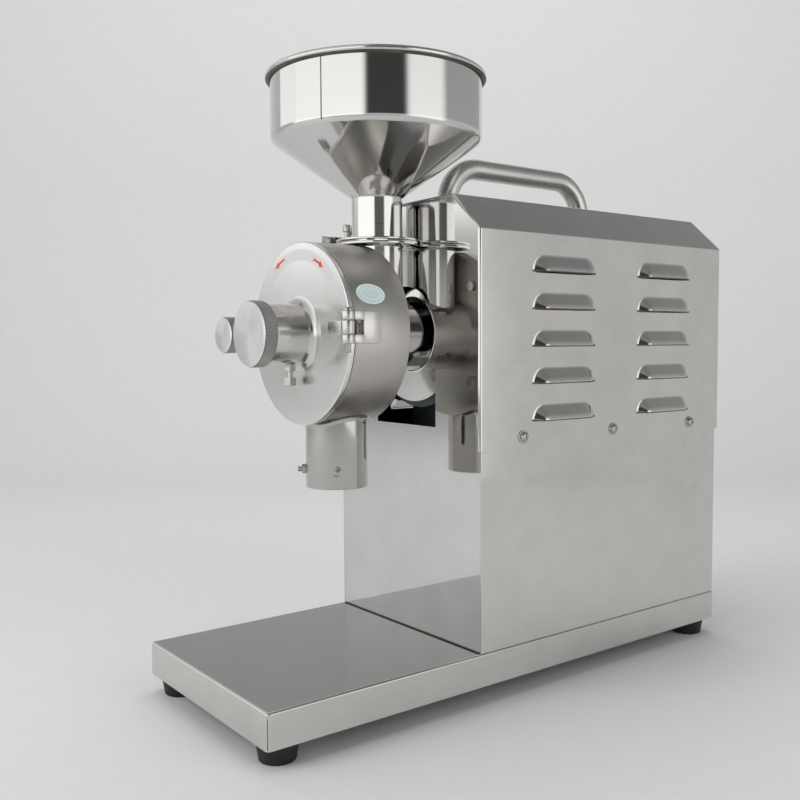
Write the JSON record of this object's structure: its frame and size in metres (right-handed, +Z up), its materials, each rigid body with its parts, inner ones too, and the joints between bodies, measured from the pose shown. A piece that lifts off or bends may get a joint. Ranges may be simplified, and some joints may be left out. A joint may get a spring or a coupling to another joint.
{
  "type": "commercial coffee grinder",
  "caption": "Stainless coffee mill on a long tray: hopper with slide gate, round burr head with hinged lid and adjusting knob, outlet spout and louvered motor cabinet.",
  "frame": {"origin": "centre of the footprint, on the floor under the feet", "axes": "+Z up, +Y to the rear of the machine, +X to the right seen from the front"},
  "size_m": [0.252, 0.624, 0.61],
  "materials": {
    "polished_stainless": "mirror polished",
    "bright_stainless": "bright annealed sheet",
    "satin_stainless": "satin turned",
    "zinc_steel": "bright zinc plated",
    "tool_steel": "ground",
    "black_rubber": "moulded matte",
    "motor_paint": "satin paint",
    "stator_copper": "varnished windings",
    "black_plastic": "fine texture",
    "pale_plastic": "moulded",
    "green_plastic": "moulded gloss",
    "red_plastic": "moulded gloss"
  },
  "bodies": {
    "frame": {"base_tray": "bright_stainless", "rubber_feet": "black_rubber", "foot_screws": "zinc_steel", "front_plate": "polished_stainless", "left_side_panel": "bright_stainless", "right_side_panel": "bright_stainless", "top_hood": "bright_stainless", "rear_panel": "bright_stainless", "hood_screws": "zinc_steel", "cabinet_screws": "zinc_steel", "carry_handle": "satin_stainless", "handle_bolts": "zinc_steel", "hopper": "polished_stainless", "feed_chute": "polished_stainless", "grinding_drum": "satin_stainless", "chamber_liner": "tool_steel", "drum_bolts": "zinc_steel", "drive_neck": "polished_stainless", "neck_bolts": "zinc_steel", "discharge_spout": "polished_stainless", "spout_screws": "zinc_steel", "rim_seal": "black_rubber", "hinge_bracket": "satin_stainless", "hinge_pin": "zinc_steel", "clamp_boss": "satin_stainless", "shaft_seal": "black_rubber", "motor_bearings": "tool_steel", "front_end_shield": "motor_paint", "motor_shell": "motor_paint", "stator": "stator_copper", "rear_end_shield": "motor_paint", "fan_cowl": "motor_paint", "motor_stand": "motor_paint", "terminal_box": "black_plastic", "capacitors": "black_plastic", "inner_leads": "black_plastic", "switch_block": "black_plastic", "cable_gland": "black_plastic"},
    "rotor": {"drive_shaft": "tool_steel", "shaft_nut": "zinc_steel", "feed_screw": "tool_steel", "burr_disc": "tool_steel", "turning_burr": "tool_steel", "rotor_core": "tool_steel", "cooling_fan": "pale_plastic"},
    "door": {"chamber_lid": "satin_stainless", "lid_hinge_leaf": "satin_stainless", "guide_pins": "zinc_steel", "hub_lock_nut": "zinc_steel"},
    "adjuster": {"adjusting_knob": "satin_stainless"},
    "burr_slide": {"burr_carrier": "tool_steel", "fixed_burr": "tool_steel", "burr_screws": "zinc_steel"},
    "clamp_slide": {"clamp_collar": "satin_stainless"},
    "clamp_screw": {"clamp_knob": "satin_stainless"},
    "gate": {"feed_gate": "bright_stainless"},
    "gate_lock": {"gate_lock_screw": "zinc_steel"},
    "hub_lock": {"hub_lock_screw": "zinc_steel"},
    "start": {"start_button": "green_plastic"},
    "stop": {"stop_button": "red_plastic"}
  },
  "joints": [
    {"name": "mill_spin", "type": "hinge", "parent": "frame", "child": "rotor", "pos_m": [0, -0.079, 0.356], "axis": [0, 1, 0], "continuous": true},
    {"name": "door_swing", "type": "hinge", "parent": "frame", "child": "door", "pos_m": [0.093, -0.213, 0.356], "axis": [0, 0, 1], "range_deg": [0, 150]},
    {"name": "adjust_turn", "type": "hinge", "parent": "door", "child": "adjuster", "pos_m": [0, -0.249, 0.356], "axis": [0, -1, 0], "range_deg": [-144.5, 1080.5]},
    {"name": "burr_travel", "type": "slide", "parent": "door", "child": "burr_slide", "axis": [0, -1, 0], "range_m": [-0.0006, 0.0045]},
    {"name": "clamp_travel", "type": "slide", "parent": "door", "child": "clamp_slide", "axis": [0, -1, 0], "range_m": [0, 0.006]},
    {"name": "clamp_turn", "type": "hinge", "parent": "clamp_slide", "child": "clamp_screw", "pos_m": [-0.105, -0.224, 0.356], "axis": [0, -1, 0], "range_deg": [-0.5, 1440.5]},
    {"name": "gate_slide", "type": "slide", "parent": "frame", "child": "gate", "axis": [-1, 0, 0], "range_m": [0, 0.05]},
    {"name": "gate_lock_turn", "type": "hinge", "parent": "frame", "child": "gate_lock", "pos_m": [-0.054, -0.1135, 0.455], "axis": [0, 0, 1], "range_deg": [0, 360]},
    {"name": "hub_lock_turn", "type": "hinge", "parent": "door", "child": "hub_lock", "pos_m": [0, -0.2165, 0.326], "axis": [0, 0, 1], "range_deg": [0, 360]},
    {"name": "start_press", "type": "slide", "parent": "frame", "child": "start", "axis": [0, -1, 0], "range_m": [0, 0.004], "stiffness_N_per_m": 300, "springref_m": -0.003},
    {"name": "stop_press", "type": "slide", "parent": "frame", "child": "stop", "axis": [0, -1, 0], "range_m": [0, 0.004], "stiffness_N_per_m": 300, "springref_m": -0.003}
  ],
  "couplings": [
    {"joint": "adjust_turn", "follows": "burr_travel", "rad_per_m": 4188.8},
    {"joint": "clamp_turn", "follows": "clamp_travel", "rad_per_m": 4188.8}
  ]
}
